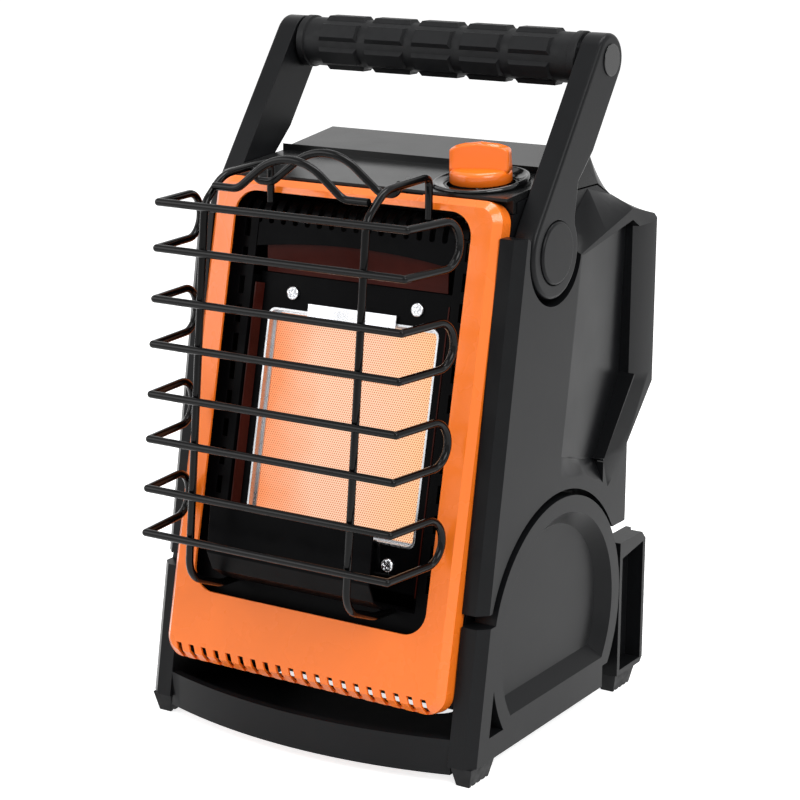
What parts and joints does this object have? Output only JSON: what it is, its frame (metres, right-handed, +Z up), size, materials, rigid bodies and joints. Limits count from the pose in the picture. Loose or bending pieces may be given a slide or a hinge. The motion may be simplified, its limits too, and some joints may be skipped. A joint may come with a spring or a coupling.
{
  "type": "portable propane heater",
  "caption": "Tilting burner head with a wire guard on a moulded base, with a control knob, a rear gas bay and a folding carry handle.",
  "frame": {"origin": "on the floor, under the middle of the heater's bounding box", "axes": "+X to the heater's right seen from the front, +Y to the back, +Z up; the burner faces -Y"},
  "size_m": [0.22, 0.2497, 0.3981],
  "materials": {
    "black_plastic": "satin moulded",
    "gloss_black": "gloss",
    "orange_plastic": "gloss",
    "orange_paint": "gloss enamel",
    "black_enamel": "heat-proof enamel, satin",
    "black_wire": "gloss enamel",
    "ceramic": "matt perforated ceramic",
    "steel": "satin",
    "bright_steel": "bright",
    "brass": "satin",
    "rubber": "matt"
  },
  "bodies": {
    "base": {"base_frame": "black_plastic", "foot_front_left": "rubber", "foot_front_right": "rubber", "foot_rear_left": "rubber", "foot_rear_right": "rubber", "tilt_pin_left": "steel", "tilt_pin_right": "steel"},
    "head": {"main_housing": "black_plastic", "side_housing_left": "black_plastic", "side_housing_right": "black_plastic", "top_cover": "black_plastic", "front_panel": "orange_paint", "chamber_liner": "black_enamel", "louvre_cover": "black_enamel", "burner_plate": "black_enamel", "ceramic_tile": "ceramic", "tile_frame": "steel", "tile_bracket": "bright_steel", "plenum": "steel", "reflector_left": "bright_steel", "reflector_right": "bright_steel", "reflector_top": "bright_steel", "burner_screws": "bright_steel", "front_shield": "black_enamel", "guard_hoop_1": "black_wire", "guard_hoop_2": "black_wire", "guard_hoop_3": "black_wire", "guard_hoop_4": "black_wire", "guard_rail_left": "black_wire", "guard_rail_right": "black_wire", "guard_arch_front": "black_wire", "guard_arch_rear": "black_wire", "knob_collar": "gloss_black", "valve_body": "brass", "gas_tube": "steel", "mixing_tube": "steel", "regulator": "brass", "inlet_seal": "rubber", "door_hinge_pin": "steel"},
    "handle": {"handle_arm_left": "black_plastic", "handle_arm_right": "black_plastic", "hinge_cap_left": "black_plastic", "hinge_cap_right": "black_plastic", "grip_bolt_left": "gloss_black", "grip_bolt_right": "gloss_black", "grip_core": "steel", "grip_sleeve": "rubber"},
    "valve_plunger": {"valve_stem": "steel"},
    "knob": {"knob": "orange_plastic"},
    "fuel_door": {"fuel_door": "black_plastic"},
    "door_latch": {"door_latch": "black_plastic"}
  },
  "joints": [
    {"name": "body_tilt", "type": "hinge", "parent": "base", "child": "head", "pos_m": [0, 0.0112, 0.067], "axis": [1, 0, 0], "range_deg": [-8, 0]},
    {"name": "handle_fold", "type": "hinge", "parent": "head", "child": "handle", "pos_m": [0, 0.0012, 0.283], "axis": [1, 0, 0], "range_deg": [-27, 33]},
    {"name": "knob_push", "type": "slide", "parent": "head", "child": "valve_plunger", "axis": [0, 0.0804, -0.9968], "range_m": [0, 0.003], "stiffness_N_per_m": 800, "springref_m": -0.001},
    {"name": "knob_turn", "type": "hinge", "parent": "valve_plunger", "child": "knob", "pos_m": [0.061, 0.0006, 0.31729], "axis": [0, -0.0804, 0.9968], "range_deg": [-180, 0]},
    {"name": "fuel_door_hinge", "type": "hinge", "parent": "head", "child": "fuel_door", "pos_m": [-0.0532, 0.1192, 0.165], "axis": [0, 0, 1], "range_deg": [0, 105]},
    {"name": "door_latch_slide", "type": "slide", "parent": "fuel_door", "child": "door_latch", "axis": [1, 0, 0], "range_m": [0, 0.0026]}
  ]
}
